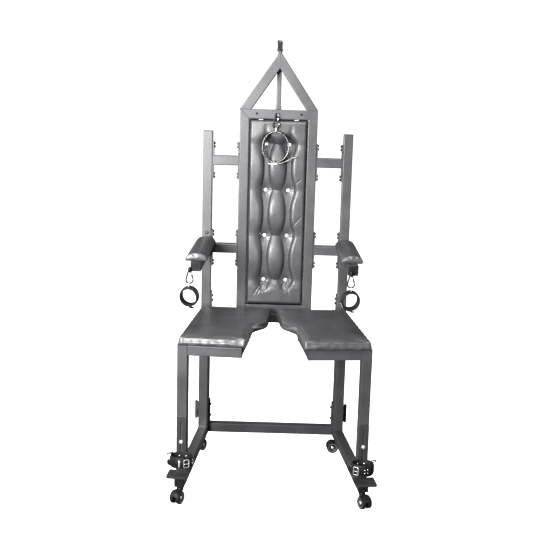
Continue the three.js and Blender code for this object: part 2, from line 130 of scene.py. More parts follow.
def lathe(profile, sides=32, closed=False):
    """A profile of (radius, height) turned about z: from axis to axis, or a closed ring."""
    points, rings, faces = [], [], []
    for radius, height in profile:
        if radius < 1e-6:
            rings.append([len(points)] * sides)
            points.append((0, 0, height))
            continue
        rings.append(list(range(len(points), len(points) + sides)))
        for i in range(sides):
            angle = 2 * math.pi * i / sides
            points.append((radius * math.cos(angle), radius * math.sin(angle), height))
    for low, high in zip(rings, rings[1:] + (rings[:1] if closed else [])):
        for i in range(sides):
            j = (i + 1) % sides
            face = dict.fromkeys((low[i], low[j], high[j], high[i]))
            faces.append(tuple(face))
    return Shape(points, [f for f in faces if len(f) > 2])


def circle(radius, sides):
    return [(radius * math.cos(a), radius * math.sin(a))
            for a in (2 * math.pi * i / sides for i in range(sides))]


def rounded(wide, tall, radius, steps=3):
    """A rectangle with round corners, round the origin."""
    radius = min(radius, wide / 2 - 0.01, tall / 2 - 0.01)
    points = []
    for quarter, (sx, sy) in enumerate(((1, 1), (-1, 1), (-1, -1), (1, -1))):
        for i in range(steps + 1):
            a = math.pi / 2 * (quarter + i / steps)
            points.append((sx * (wide / 2 - radius) + radius * math.cos(a),
                           sy * (tall / 2 - radius) + radius * math.sin(a)))
    return points


def prism(outline, low, high):
    """An outline in x and y, between two heights."""
    n = len(outline)
    points = [(x, y, z) for z in (low, high) for x, y in outline]
    sides = [(i, (i + 1) % n, n + (i + 1) % n, n + i) for i in range(n)]
    return Shape(points, sides + [tuple(range(n))[::-1], tuple(range(n, 2 * n))])


def plate(outline, near, far):
    """An outline in x and z, between two depths."""
    flat = prism(outline, near, far)
    return Shape([(x, y, z) for x, z, y in flat.points], flat.faces)


def sweep(path, section, closed=False, up=None, sizes=None):
    """A section carried along a path. up keeps its second axis; without it the section rolls freely."""
    path = [Vector(p) for p in path]
    n, m = len(path), len(section)
    points, normal = [], None
    for i, p in enumerate(path):
        ahead = path[(i + 1) % n] if closed or i < n - 1 else p
        behind = path[i - 1] if closed or i else p
        tangent = (ahead - behind).normalized()
        if up is not None:
            second = (Vector(up) - tangent * tangent.dot(Vector(up))).normalized()
        else:
            seed = normal or (Vector((0, 0, 1)) if abs(tangent.z) < 0.9 else Vector((1, 0, 0)))
            second = normal = (seed - tangent * tangent.dot(seed)).normalized()
        first = second.cross(tangent)
        size = sizes[i] if sizes else 1
        points += [p + (first * a + second * b) * size for a, b in section]
    faces = []
    for i in range(n if closed else n - 1):
        j = (i + 1) % n
        faces += [(i * m + k, i * m + (k + 1) % m, j * m + (k + 1) % m, j * m + k) for k in range(m)]
    if not closed:
        faces += [tuple(range(m))[::-1], tuple(range((n - 1) * m, n * m))]
    return Shape(points, faces)


def wire(path, radius, closed=False, sides=10, sizes=None):
    return sweep(path, circle(radius, sides), closed, sizes=sizes)


def arc(cx, cz, rx, rz, start, end, count, y=0):
    """Points on an ellipse in the XZ plane, angles in degrees from +x towards +z."""
    angles = [math.radians(start + (end - start) * i / count) for i in range(count + 1)]
    return [(cx + rx * math.cos(a), y, cz + rz * math.sin(a)) for a in angles]


def smooth_path(points, count):
    """A Catmull-Rom curve through points."""
    points = [Vector(p) for p in points]
    held = [points[0], *points, points[-1]]
    result = []
    for a, b, c, d in zip(held, held[1:], held[2:], held[3:]):
        for j in range(count):
            t = j / count
            result.append(0.5 * (2 * b + (c - a) * t + (2 * a - 5 * b + 4 * c - d) * t * t
                                 + (3 * b - a - 3 * c + d) * t ** 3))
    return result + [points[-1]]


# ---- materials -------------------------------------------
def shader(name, color, roughness, **sockets):
    """A material with its Principled shader, for a node graph to be added to."""
    made = bpy.data.materials.new(name)
    made.use_nodes = True
    bsdf = made.node_tree.nodes["Principled BSDF"]
    bsdf.inputs["Base Color"].default_value = (*color, 1)
    bsdf.inputs["Roughness"].default_value = roughness
    for socket, value in sockets.items():
        bsdf.inputs[socket.replace("_", " ")].default_value = value
    return made, made.node_tree, bsdf


def texture(tree, scale, kind="Noise", **sockets):
    """A texture node in object coordinates, whose scale is in cells to the metre."""
    place = tree.nodes.new("ShaderNodeTexCoord")
    node = tree.nodes.new(f"ShaderNodeTex{kind}")
    tree.links.new(place.outputs["Object"], node.inputs["Vector"])
    node.inputs["Scale"].default_value = scale
    for socket, value in sockets.items():
        node.inputs[socket].default_value = value
    return node


def vary(tree, bsdf, socket, noise_node, low, high):
    """A socket follows a noise between two stops of (place on the ramp, colour or value)."""
    node = tree.nodes.new("ShaderNodeValToRGB")
    tree.links.new(noise_node.outputs["Fac"], node.inputs["Fac"])
    for element, (place, color) in zip(tuple(node.color_ramp.elements), (low, high)):
        element.position = place
        element.color = (*color, 1) if isinstance(color, tuple) else (color, color, color, 1)
    tree.links.new(node.outputs["Color"], bsdf.inputs[socket])


def bump(tree, bsdf, layers):
    """Bump layers of (height output, strength, distance in metres), one on another."""
    normal = None
    for height, strength, distance in layers:
        node = tree.nodes.new("ShaderNodeBump")
        node.inputs["Strength"].default_value = strength
        node.inputs["Distance"].default_value = distance
        tree.links.new(height, node.inputs["Height"])
        if normal:
            tree.links.new(normal, node.inputs["Normal"])
        normal = node.outputs["Normal"]
    tree.links.new(normal, bsdf.inputs["Normal"])


def powder_coat(name="powder_coat", shade=0.057):
    """Satin charcoal paint with a faint orange peel, a little cloudy in its shade and its gloss."""
    made, tree, bsdf = shader(name, (shade, shade, shade * 1.05), 0.38, Metallic=0.1)
    cloud = texture(tree, 9, Detail=4)
    peel = texture(tree, 900, Detail=2)
    dust = texture(tree, 2600, Detail=1)
    low, high = ((shade * k, shade * k, shade * k * 1.05) for k in (0.85, 1.18))
    vary(tree, bsdf, "Base Color", cloud, (0.3, low), (0.7, high))
    vary(tree, bsdf, "Roughness", cloud, (0.25, 0.33), (0.75, 0.42))
    bump(tree, bsdf, [(peel.outputs["Fac"], 0.25, 0.0003), (dust.outputs["Fac"], 0.2, 0.0001)])
    return made


def black_steel():
    """Dark oiled steel, patchy and with a fine grit."""
    made, tree, bsdf = shader("black_steel", (0.02, 0.02, 0.022), 0.34, Metallic=0.55)
    cloud = texture(tree, 60, Detail=5)
    grit = texture(tree, 2200, Detail=2)
    vary(tree, bsdf, "Base Color", cloud, (0.3, (0.014, 0.014, 0.016)), (0.75, (0.034, 0.034, 0.036)))
    vary(tree, bsdf, "Roughness", cloud, (0.3, 0.27), (0.8, 0.45))
    bump(tree, bsdf, [(grit.outputs["Fac"], 0.2, 0.0002)])
    return made


def leather(name="leather", color=(0.04, 0.04, 0.042), roughness=0.4, coat=0.2, gloss=0.5):
    """Glossy grained artificial leather: small pebbles in a net of fine creases."""
    made, tree, bsdf = shader(name, color, roughness, Coat_Weight=coat, Coat_Roughness=0.25,
                              Specular_IOR_Level=gloss)
    cells = texture(tree, 700, "Voronoi")
    cells.feature = "DISTANCE_TO_EDGE"
    folds = texture(tree, 120, Detail=6, Distortion=0.6)
    cloud = texture(tree, 14, Detail=3)
    light = tuple(c * 1.5 for c in color)
    vary(tree, bsdf, "Base Color", cloud, (0.3, color), (0.75, light))
    vary(tree, bsdf, "Roughness", folds, (0.3, roughness - 0.05), (0.7, roughness + 0.1))
    bump(tree, bsdf, [(folds.outputs["Fac"], 0.16, 0.0005), (cells.outputs["Distance"], 0.55, 0.0003)])
    return made


def metal(name, color, roughness, metallic=1.0):
    """Plated metal, a little smeared."""
    made, tree, bsdf = shader(name, color, roughness, Metallic=metallic)
    smear = texture(tree, 180, Detail=4)
    vary(tree, bsdf, "Roughness", smear, (0.3, roughness * 0.8), (0.8, roughness * 1.5))
    bump(tree, bsdf, [(smear.outputs["Fac"], 0.05, 0.0002)])
    return made


def moulded(name, color, roughness, gloss=0.5):
    """Plastic or rubber with a fine grain."""
    made, tree, bsdf = shader(name, color, roughness, Specular_IOR_Level=gloss)
    grain = texture(tree, 1500, Detail=2)
    cloud = texture(tree, 40, Detail=3)
    vary(tree, bsdf, "Base Color", cloud, (0.3, color), (0.8, tuple(c * 1.6 for c in color)))
    bump(tree, bsdf, [(grain.outputs["Fac"], 0.3, 0.0002)])
    return made


# A finish is a material and the record's slot that it belongs to.
FINISH = {
    "powder": (powder_coat(), "powder_coat"),
    "steel": (black_steel(), "black_steel"),
    # The footrest's coat, 0.036 against the frame's 0.057, is partly its own darker paint and partly painted shade
    # for its foot plates, which lie low in the chair's shadow.
    "bracket": (powder_coat("bracket_coat_and_painted_shade", 0.036), "black_steel"),
    "leather": (leather(), "leather"),
    "strap": (leather("strap_leather", (0.01, 0.01, 0.011), 0.45, 0.0, 0.25), "leather"),
    "lining": (leather("cuff_lining", (0.012, 0.012, 0.013), 0.6, 0.0, 0.2), "leather"),
    "cuff": (leather("cuff_leather", (0.012, 0.012, 0.013), 0.45, 0.0, 0.25), "leather"),
    "piping": (metal("silver_piping", (0.6, 0.6, 0.6), 0.45), "leather"),
    "thread": (moulded("black_thread", (0.03, 0.03, 0.032), 0.6), "leather"),
    "chrome": (metal("polished_chrome", (0.9, 0.9, 0.91), 0.24, 0.75), "chrome"),
    "crystal": (metal("cut_crystal", (0.96, 0.96, 0.97), 0.24, 0.5), "chrome"),
    "zinc": (metal("zinc_plate", (0.86, 0.86, 0.87), 0.38, 0.8), "chrome"),
    "tyre": (moulded("tyre_rubber", (0.014, 0.014, 0.014), 0.5, 0.2), "tyre"),
    "plastic": (moulded("black_plastic", (0.014, 0.014, 0.015), 0.4, 0.3), "black_steel"),
    "dark": (moulded("burnished_black", (0.008, 0.008, 0.009), 0.5, 0.2), "black_steel"),
}
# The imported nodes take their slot's finish, or that of the start of their name.
SLOT_FINISH = {"powder_coat": "powder", "black_steel": "steel", "leather": "leather",
               "chrome": "chrome", "tyre": "tyre"}
NAME_FINISH = {"foot_clamp_bolt": "zinc", "footrest": "bracket"}


# ---- making pieces ---------------------------------------
def add(name, data):
    """A new object in the scene."""
    made = bpy.data.objects.new(name, data)
    bpy.context.scene.collection.objects.link(made)
    return made


def soften(made, width):
    """Rounds a mesh's edges by a width in millimetres."""
    edge = made.modifiers.new("edge", "BEVEL")
    edge.width, edge.segments, edge.limit_method = width * MM, 2, "ANGLE"
    return edge


def piece(name, shape, finish, body, place=ROOT, replaces=(), bevel=0.0, sharp=38):
    """A mesh object from a shape, in its place and riding on its body."""
    mesh = bpy.data.meshes.new(name)
    mesh.from_pydata([place @ p for p in shape.points], [], shape.faces)
    work = bmesh.new()
    work.from_mesh(mesh)
    bmesh.ops.recalc_face_normals(work, faces=work.faces)
    work.to_mesh(mesh)
    work.free()
    made = add(name, mesh)
    if bevel:
        soften(made, bevel)
    return dress(made, finish, body, replaces, sharp)


def dress(made, finish, body, replaces, sharp):
    """An object's finish, its creases over an angle in degrees, its body and the nodes it stands for."""
    material, slot = FINISH[finish]
    made.data.materials.clear()
    made.data.materials.append(material)
    made.data.shade_smooth()
    made.data.set_sharp_from_angle(angle=math.radians(sharp))
    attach(made, body)
    if replaces:
        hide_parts(*replaces)
    return made


def dress_frame():
    """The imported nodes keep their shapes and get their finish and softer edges."""
    for part in frame["record"]["subparts"]:
        node = frame["nodes"][part["node"]]
        start = next((name for name in NAME_FINISH if part["node"].startswith(name)), None)
        finish = NAME_FINISH.get(start, SLOT_FINISH[part["material_slot"]])
        node.data.materials.clear()
        node.data.materials.append(FINISH[finish][0])
        node.data.shade_smooth()
        edge = soften(node, 0.5)
        edge.angle_limit, edge.harden_normals = math.radians(40), True


# ---- hardware --------------------------------------------
def hex_bolt(across, thick, washer):
    """A bolt head with its washer, standing on z = 0."""
    r, edge, base = across / math.sqrt(3), washer / 2, 1.6
    top = base + thick
    ring = lathe([(0, 0), (edge, 0), (edge, base - 0.3), (edge - 0.4, base), (0, base)], 24)
    return ring + lathe([(0, base), (r, base), (r, top - 0.8), (r - 0.9, top), (0, top)], 6)


def small_nut():
    """A hexagon nut for the eye bolts, standing on z = 0."""
    return lathe([(0, 0), (6, 0), (6.4, 0.4), (6.4, 3), (5.6, 3.6), (0, 3.6)], 6)


def dome(radius, high):
    """A round-headed bolt standing on z = 0."""
    steps = 5
    curve = [(radius * math.cos(a), high * math.sin(a)) for a in
             (math.pi / 2 * i / steps for i in range(steps))]
    return lathe([(0, -1), (radius, -1), *curve, (0, high)], 24)


def socket_head(radius, high):
    """A cap screw with its hexagon socket, standing on z = 0."""
    return lathe([(0, -1), (radius, -1), (radius, high - 0.6), (radius - 0.6, high), (radius * 0.5, high),
                  (radius * 0.5, high - 2), (0, high - 2)], 24)


def flange_bolts():
    """Bolt heads on the flanges at the posts, and their nuts on the back stiles."""
    head, nut = hex_bolt(9, 4.5, 11), hex_bolt(9, 3, 11)
    at_post = {"x": POST_INSIDE - FLANGE - 0.4, "y": TUBE / 2, "ry": -90}
    at_back = {"x": BACK_OUTSIDE + FLANGE + 0.4, "y": TUBE / 2, "ry": 90}
    for side in SIDES:
        heads = Shape()
        for rail in (UPPER_RAIL, ARM_RAIL):
            for step in (-71, -57, 57, 71):
                heads += head.at(z=rail + step, **at_post) + nut.at(z=rail + step, **at_back)
        for z in (668, 688, 140, 190):
            heads += head.at(z=z, **at_post)
        piece(f"flange_bolts_{side}", heads, "steel", "root", FIXED[side])


def post_caps():
    """Plastic plugs in the open tops of the posts, and the domed bolt above the left arm pad."""
    lid = prism(rounded(39, 39, 3), POST_TOP - 1, POST_TOP + 1)
    plug = prism(rounded(36.4, 36.4, 2), POST_TOP - 15, POST_TOP - 0.5)
    cap = (lid + plug).at(POST_X, TUBE / 2)
    for side in SIDES:
        piece(f"post_cap_{side}", cap, "plastic", "root", FIXED[side], bevel=0.6)
    bolt = dome(8, 5.5).at(POST_X, 0, 968, rx=90)
    piece("post_bolt_left", bolt, "powder", "root", FIXED["left"])


def tube_ends():
    """Plugs in the open tube ends of both seat halves."""
    plug = plate(rounded(39, 39, 3), -604.2, -601.8).at(POST_X, 0, 85)
    for side in SIDES:
        piece(f"base_plug_{side}", plug, "plastic", f"seat_{side}", HALF[side], bevel=0.6)


# ---- soft goods: shared work -----------------------------
def rise(value, low, high):
    """0 below low, 1 above high and a smooth step between."""
    t = min(1.0, max(0.0, (value - low) / (high - low)))
    return t * t * (3 - 2 * t)


def settle(made):
    """Puts a piece's modifiers into its mesh."""
    graph = bpy.context.evaluated_depsgraph_get()
    mesh = bpy.data.meshes.new_from_object(made.evaluated_get(graph))
    made.modifiers.clear()
    old, made.data = made.data, mesh
    bpy.data.meshes.remove(old)


PRESSURE, SWELL_FRAMES = 4.0, 20  # of the cloth that swells a pad


def inflate(made, voxel, cap, fixed_below):
    """Swells a closed mesh under Cloth pressure, holding what is low, and caps how far it moves."""
    remesh = made.modifiers.new("remesh", "REMESH")
    remesh.mode, remesh.voxel_size = "VOXEL", voxel * MM
    settle(made)
    rest = [v.co.copy() for v in made.data.vertices]
    held = made.vertex_groups.new(name="held")
    held.add([v.index for v in made.data.vertices if v.co.z < fixed_below * MM], 1.0, "REPLACE")
    cloth = made.modifiers.new("cloth", "CLOTH")
    cloth.settings.use_pressure, cloth.settings.uniform_pressure_force = True, PRESSURE
    cloth.settings.effector_weights.gravity = 0
    cloth.settings.vertex_group_mass = "held"
    cloth.settings.quality = 4
    cloth.point_cache.frame_start, cloth.point_cache.frame_end = 1, SWELL_FRAMES
    for number in range(1, SWELL_FRAMES + 1):
        bpy.context.scene.frame_set(number)
    settle(made)
    bpy.context.scene.frame_set(1)
    for vertex, start in zip(made.data.vertices, rest):
        move = vertex.co - start
        if move.length > cap * MM:
            vertex.co = start + move.normalized() * cap * MM
    made.vertex_groups.clear()
    made.data.shade_smooth()
    finer = made.modifiers.new("finer", "SUBSURF")
    finer.levels = finer.render_levels = 1
    settle(made)
    return made


def shape_vertices(made, place, move):
    """Moves each point by what move says of its place in millimetres."""
    back = place.inverted()
    for vertex in made.data.vertices:
        point = back @ vertex.co
        vertex.co = place @ (point + Vector(move(point)))


# ---- the tufted back -------------------------------------
BACK_LOW, BACK_HIGH = box_mm("back_cushion")
BACK_HALF = (BACK_HIGH.x - BACK_LOW.x) / 2
COLUMN = 48
ROWS = (767, 961, 1157, 1350)
STRIP = 9.5  # half width of the flat strip between the buttons of a column
VALLEY = -9  # how far that strip stands out of the frame's front face
PULL, TOP_PULL, REACH = 7, 11, 60  # a button's pull, the top row's, and how far they reach
CREST = 13  # how far the fullest bulge stands out of the frame's front face
RIM = -8
CREASES = (  # x and z of both ends, depth and width
    (71, 1180, 103, 1208, 1.5, 2.4), (76, 1174, 94, 1190, 0.6, 2.4),
    (72, 1004, 106, 1047, 1.5, 2.4), (82, 1004, 100, 1024, 0.6, 2.4),
    (-56, 757, -88, 706, 3.4, 2.6), (-50, 752, -72, 708, 2.6, 2.4), (-44, 757, -26, 726, 2.2, 3.0),
    (56, 759, 94, 738, 3.2, 2.6), (54, 753, 86, 712, 2.8, 2.4), (50, 750, 64, 706, 2.2, 2.4),
    (44, 757, 26, 726, 2.2, 3.0), (-48, 1366, -52, 1424, 3.0, 9.0), (50, 1366, 56, 1424, 3.0, 9.0),
)


def fullness(z):
    """A wave up the back that is 0 at a row of buttons and 1 midway between two rows."""
    edges = (BACK_LOW.z - 12, *ROWS, BACK_HIGH.z + 14)
    index = max(i for i in range(len(edges) - 1) if z >= edges[i] or i == 0)
    low, high = edges[index], edges[index + 1]
    middle, half = (low + high) / 2, (high - low) / 2
    return math.cos(math.pi / 2 * min(1, abs(z - middle) / half)) ** 2


def crease_depth(x, z):
    """How deep the creases cut at a place, fading from their first end to their second."""
    depth = 0
    for x1, z1, x2, z2, deep, wide in CREASES:
        along = Vector((x2 - x1, z2 - z1))
        t = min(1, max(0, Vector((x - x1, z - z1)).dot(along) / along.length_squared))
        near = (Vector((x, z)) - Vector((x1, z1)) - along * t).length
        if near < 3 * wide:
            depth += deep * math.exp(-(near / wide) ** 2) * (1 - t * t * 0.7)
    return depth


def cushion_front(x, z):
    """How far the leather stands forward of the frame's front face."""
    a = abs(x)
    full = fullness(z)
    past = max(ROWS[0] - z, z - ROWS[-1], 0)
    merged = rise(past, 0, 56)
    floor = VALLEY + 3 * full * (past == 0)
    wide = (COLUMN - STRIP) * (0.44 + 0.56 * full ** 0.34)
    centre = (CREST - floor) * max(0, 1 - (a / wide) ** (2 + 4 * full)) ** 0.45 * (0.15 + 0.85 * full ** 0.4)
    centre -= 2.4 * (a / wide) ** 2 * full
    wave, soft = (17, 0) if x > 0 else (9, 0.3)
    border = COLUMN + STRIP + wave * (1 - full) ** 1.7 * (1 - rise(past, 4, 60))
    v = max(0, a - border) / (BACK_HALF - border)
    swell = (1 - (1 - min(1, v / (0.32 + soft * (1 - full)))) ** 2.5) ** 0.45
    outer = (CREST - 0.5 - floor) * (0.74 + 0.26 * full ** 0.7) * swell - 3.0 * (v - 0.35) ** 2
    front = (floor + max(centre, outer)) * (1 - merged) + (CREST - 1 - 3 * (a / BACK_HALF) ** 2) * merged
    for row in ROWS:
        r = math.hypot(a - COLUMN, z - row)
        if r < REACH:
            pull = TOP_PULL if row == ROWS[-1] else PULL
            front -= 2 * math.exp(-(r / 11) ** 2) + pull * math.exp(-(r / 27) ** 2)
            angle = math.atan2(z - row, a - COLUMN)
            front += 0.25 * math.exp(-((r - 16) / 8) ** 2) * math.sin(9 * angle + row + x / 40)
    front -= crease_depth(x, z)
    front += 0.7 * noise.noise(Vector((x, z, 3)) / 46) + 0.12 * noise.noise(Vector((x, z, 9)) / 12)
    edge = min((BACK_HALF - a) / 11, (z - BACK_LOW.z) / 14, (BACK_HIGH.z - z) / 14)
    round_off = math.sqrt(max(0, 1 - (1 - min(1, max(0, edge))) ** 2))
    return RIM + (front - RIM) * round_off


def back_cushion():
    across, up = 112, 336
    xs = [-BACK_HALF + 2 * BACK_HALF * i / across for i in range(across + 1)]
    zs = [BACK_LOW.z + (BACK_HIGH.z - BACK_LOW.z) * j / up for j in range(up + 1)]
    points = [(x, -cushion_front(x, z), z) for z in zs for x in xs]
    wide = across + 1
    faces = [(j * wide + i, j * wide + i + 1, (j + 1) * wide + i + 1, (j + 1) * wide + i)
             for j in range(up) for i in range(across)]
    border = [*range(across), *(j * wide + across for j in range(up)),
              *(up * wide + i for i in range(across, 0, -1)), *(j * wide for j in range(up, 0, -1))]
    first, count = len(points), len(border)
    points += [(points[i][0] * 0.985, BACK_HIGH.y - 1, points[i][2]) for i in border]
    faces += [(border[k], border[(k + 1) % count], first + (k + 1) % count, first + k) for k in range(count)]
    faces.append(tuple(range(first, first + count)))
    made = piece("tufted_back", Shape(points, faces), "leather", "root", replaces=["back_cushion"], sharp=80)
    board = plate(rounded(247.2, 797.6, 3), 31, 38).at(z=1056.6)
    piece("back_board", board, "lining", "root", bevel=0.8)
    gem = lathe([(0, 0), (8.0, 0), (8.6, 1.6), (6.0, 4.2), (3.2, 5.3), (0, 5.3)], 10)
    cup = lathe([(0, -3), (9.8, -3), (10.2, 0), (9.6, 1.6), (8.8, 1.2), (8.4, 0.2), (0, 0.2)], 28)
    gems, cups = Shape(), Shape()
    for x in (-COLUMN, COLUMN):
        for z in ROWS:
            button = {"x": x, "y": -cushion_front(x, z) - 2, "z": z, "rx": 90}
            gems += gem.at(**button)
            cups += cup.at(**button)
    piece("back_button_gems", gems, "crystal", "root", sharp=10)
    piece("back_button_cups", cups, "steel", "root")


# ---- seat and arm pads -----------------------------------
def drawn_box(node, place):
    """A node's box in the drawing that its place comes from."""
    back = place.inverted()
    points = [back @ v.co for v in frame["nodes"][node].data.vertices]
    return [Vector(f(p[i] for p in points) for i in range(3)) for f in (min, max)]


def bezier(a, b, c, d, count):
    a, b, c, d = (Vector(p) for p in (a, b, c, d))
    return [a * (1 - t) ** 3 + b * 3 * t * (1 - t) ** 2 + c * 3 * t * t * (1 - t) + d * t ** 3
            for t in (i / count for i in range(count + 1))]


def corner(x, y, radius, start):
    """A quarter turn round a centre, from an angle in degrees."""
    return [(p[0], p[2]) for p in arc(x, y, radius, radius, start, start + 90, 6)]


def seat_pads():
    """The right half's pad, whose inner edge steps outwards to the front, and its mirrored copy."""
    low, high = drawn_box("seat_pad_right", HALF["right"])
    inset, radius, notch = 3.5, 11, 50
    inner, outer, front, rear = low.x + inset, high.x - inset, low.y + inset, high.y - inset
    step = notch + inset
    curve = bezier((inner, -216), (inner, -280), (step, -296), (step, -350), 14)
    outline = [*corner(outer - radius, rear - radius, radius, 0), (inner, rear), *[tuple(p) for p in curve],
               *corner(step + radius, front + radius, radius, 180),
               *corner(outer - radius, front + radius, radius, 270)]
    body = prism(outline, low.z + 0.5, high.z - 1)
    first = piece("seat_cushion_right", body, "leather", "seat_right", HALF["right"],
                  replaces=["seat_pad_right"], sharp=180)
    inflate(first, 6, 5, low.z + 6)

    def pleats(p):
        """Gathers of the cover along the lower edge, and a soft wave over the top."""
        side = rise(p.z, low.z + 2, low.z + 8) * (1 - rise(p.z, low.z + 14, high.z - 4))
        pull = 0.5 * side * math.sin(p.x / 5.3 + 2 * math.sin(p.y / 31)) * math.sin(p.y / 4.7)
        crown = 0.7 * noise.noise(p / 70) * rise(p.z, high.z - 6, high.z)
        return (pull, pull, crown)

    shape_vertices(first, HALF["right"], pleats)
    turn = HALF["left"] @ HALF["right"].inverted()
    mesh = first.data.copy()
    mesh.transform(turn)
    mesh.flip_normals()
    second = dress(add("seat_cushion_left", mesh), "leather", "seat_left", ["seat_pad_left"], 180)


def arm_pads():
    """Each pad is a rounded loaf that narrows a little towards its top."""
    for side in SIDES:
        low, high = drawn_box(f"arm_pad_{side}", FIXED[side])
        middle, half, tall = (low.x + high.x) / 2, (high.x - low.x) / 2 - 3, high.z - low.z - 4
        top = [(half * math.cos(a) * (1 - 0.16 * math.sin(a)), 6 + (tall - 6) * math.sin(a) ** 0.62)
               for a in (math.pi * i / 24 for i in range(25))]
        outline = [(half - 3, 0), *top, (3 - half, 0)]
        body = plate(outline, high.y - 1, low.y + 3).at(middle, 0, low.z + 0.5)
        made = piece(f"arm_cushion_{side}", body, "leather", "root", FIXED[side],
                     replaces=[f"arm_pad_{side}"], sharp=180)
        inflate(made, 4, 4.5, low.z + 5)

        def gathers(p):
            """Folds of the cover down the flanks and round the front end."""
            flank = rise(abs(p.x - middle), half * 0.6, half) * (1 - rise(p.z, low.z + 14, high.z - 4))
            nose = (1 - rise(p.y, low.y + 2, low.y + 26)) * rise(p.z, low.z + 4, low.z + 12)
            fold = 0.9 * flank * math.sin(p.y / 6.5 + p.z / 5) + 0.5 * nose * math.sin(p.x / 3.6)
            return (fold * math.copysign(1, p.x - middle), 0, 0.4 * nose * math.sin(p.x / 4.1))

        shape_vertices(made, FIXED[side], gathers)


# ---- cuffs, collar and straps ----------------------------
def ellipse_normal(rx, rz, degrees):
    a = math.radians(degrees)
    return Vector((math.cos(a) / rx, 0, math.sin(a) / rz)).normalized()


def ellipse_at(rx, rz, degrees, out):
    """A point out of an ellipse in the XZ plane by a distance, at an angle from +x towards +z."""
    a = math.radians(degrees)
    return Vector((rx * math.cos(a), 0, rz * math.sin(a))) + ellipse_normal(rx, rz, degrees) * out


def band(rx, rz, out, thick, deep, start=0, end=360, lift=0.0):
    """A leather strip round an ellipse. Past a full turn it lies on itself, and its end lifts off."""
    whole = end - start
    closed = whole == 360 and not lift
    count = int(whole / 5)
    path = []
    tip = [1] * (count - 2) + [0.92, 0.72, 0.3] if lift else None
    for i in range(count + (0 if closed else 1)):
        turned = whole * i / count
        over = rise(turned, 330, 352) * (thick + 0.4) if whole > 360 else 0
        off = lift * rise(turned, whole - 36, whole)
        path.append(ellipse_at(rx, rz, start + turned, out + thick / 2 + over + off))
    return sweep(path, rounded(thick, deep, 1.1, 2), closed, up=(0, 1, 0), sizes=tip)


def stitches(rx, rz, out, y):
    """A row of thread dashes round a band."""
    row, aside = Shape(), Vector((0, y, 0))
    long, every = 3.2, 5.0
    count = int(math.pi * (rx + rz) / every)
    for i in range(count):
        angle = 360 * i / count
        a, b = ellipse_at(rx, rz, angle, out), ellipse_at(rx, rz, angle + 360 * long / every / count, out)
        row += wire([a + aside, (a + b) / 2 + aside, b + aside], 0.55, sides=5, sizes=(0.5, 1, 0.5))
    return row


def buckle(wide, tall, gauge):
    """A roller buckle lying in the XY plane round the origin, its prong along x."""
    frame_wire = wire([(x, y, 0) for x, y in rounded(tall, wide, 3.5, 4)], gauge, closed=True)
    roller = wire([(tall / 2, y, 0) for y in (-wide / 2 + 3, 0, wide / 2 - 3)], gauge * 1.5)
    prong = wire(smooth_path([(-tall / 2 - 1, 0, 0.6), (-tall / 4, 0, 2.4), (tall / 4, 0, 2.6),
                              (tall / 2 + 1.5, 0, 2.2)], 4), gauge * 0.8)
    return frame_wire + roller + prong


def dee_ring(radius, gauge):
    """A D-shaped ring in the YZ plane with its straight side at the bottom, on the origin."""
    bow = [(0, y, z) for y, _, z in arc(0, radius * 0.35, radius, radius, 0, 180, 12)]
    return wire([*bow, (0, -radius, 0), (0, 0, 0), (0, radius, 0)], gauge, closed=True)


def on_band(shape, rx, rz, out, degrees, y=0.0):
    """Stands a shape drawn on z = 0 on the outside of an ellipse."""
    place = ellipse_at(rx, rz, degrees, out)
    normal, along = ellipse_normal(rx, rz, degrees), Vector((0, 1, 0))
    turn = Matrix((along.cross(normal), along, normal)).transposed().to_4x4()
    return shape.by(Matrix.Translation(place + along * y) @ turn)


def cuff_radii(wide, high):
    """The ellipse that a cuff's lining is wound on."""
    return wide / 2 - 5, high / 2 - 5


LINING, LEATHER, STRAP = 2.6, 2.2, 2.0  # how thick a cuff's layers are
ON_LEATHER, ON_STRAP = 5.0, 7.2  # how far out the strap lies, and what lies on the strap


def cuff(wide, high, deep, strap, buckle_at, tail, lift, piping=False):
    """A lined cuff with its strap, drawn round the origin with its opening facing forward."""
    rx, rz = cuff_radii(wide, high)
    parts = {
        "lining": band(rx, rz, 0, LINING, deep),
        "cuff": band(rx, rz, LINING, LEATHER, deep - 5, 80, 436),
        "strap": band(rx, rz, ON_LEATHER, STRAP, strap, buckle_at, buckle_at + 360 + tail, lift),
        "thread": Shape(),
        "chrome": on_band(buckle(strap + 5, strap * 0.8, 1.4), rx, rz, ON_STRAP + 1, buckle_at + 2),
    }
    seam = (deep - 5) / 2 - 2.2
    for y in (-seam, seam):
        parts["thread"] += stitches(rx, rz, ON_LEATHER, y)
    for turned in (26, 44, 300, 316):
        for y in (-strap / 4, strap / 4) if turned > 200 else (0,):
            parts["chrome"] += on_band(dome(2.4, 1.4), rx, rz, ON_STRAP, buckle_at + turned, y)
    parts["strap"] += band(rx, rz, ON_STRAP, 1.8, 8, buckle_at + 16, buckle_at + 30)
    if piping:
        edges = [sweep([ellipse_at(rx, rz, 5 * i, 3.2) + Vector((0, y, 0)) for i in range(72)],
                       circle(0.8, 8), True) for y in (-deep / 2, deep / 2)]
        parts["piping"] = edges[0] + edges[1]
    return parts


def hung_cuff(node, tall, strap, tail, lift, tab, piping=False):
    """The parts of a cuff that hangs by its ring from a strap tab, and where its middle goes."""
    low, high = box_mm(node)
    wide = high.x - low.x
    parts = cuff(wide, tall, high.y - low.y, strap, -100, tail, lift, piping)
    parts["chrome"] += dee_ring(9, 1.8).at(0, 0, tall / 2 + 3)
    hold = block((-tab, tab), (-9, 9), (0, 2.6))
    parts["strap"] += on_band(hold, *cuff_radii(wide, tall), ON_LEATHER, 90)
    return parts, over_box(low, high, low.z + tall / 2)


def wear(node, parts, body, place, matrix):
    """Makes a cuff's pieces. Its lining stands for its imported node."""
    for finish, shape in parts.items():
        if shape.points:
            replaces = [node] if finish == "lining" else ()
            piece(f"{node}_{finish}", shape.by(matrix), finish, body, place, replaces)


